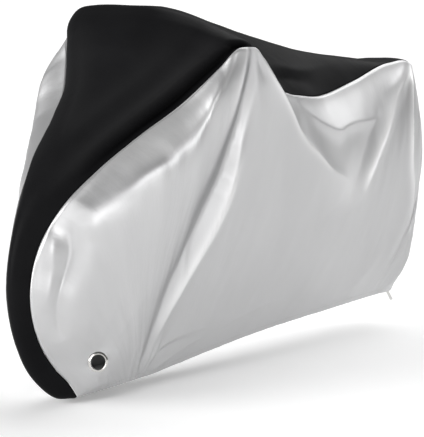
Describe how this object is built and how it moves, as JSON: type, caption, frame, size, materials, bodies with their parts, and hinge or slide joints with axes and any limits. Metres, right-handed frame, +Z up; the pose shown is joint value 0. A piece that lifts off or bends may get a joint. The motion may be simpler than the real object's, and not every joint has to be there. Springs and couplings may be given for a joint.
{
  "type": "bicycle cover",
  "caption": "Fitted bicycle cover of coated cloth, draped as over a bicycle: two silver side panels sewn to a black centre strip, with a round lock eyelet low in each side.",
  "frame": {"origin": "the hang point: under the cloth, over the middle of the handlebar", "axes": "+X towards the rear wheel, +Y to the right side panel, +Z up; the left side panel is at -Y"},
  "size_m": [1.9021, 0.7433, 1.1143],
  "materials": {
    "black_cloth": "coated woven polyester, satin",
    "silver_cloth": "silver-coated woven polyester, semi-gloss",
    "eyelet_metal": "polished nickel plate",
    "strap_webbing": "matt woven tape"
  },
  "bodies": {
    "root": {"centre_strip": "black_cloth", "side_panel_left": "silver_cloth", "side_panel_right": "silver_cloth", "eyelet_left": "eyelet_metal", "eyelet_right": "eyelet_metal", "hem_strap_end": "strap_webbing"}
  },
  "joints": []
}
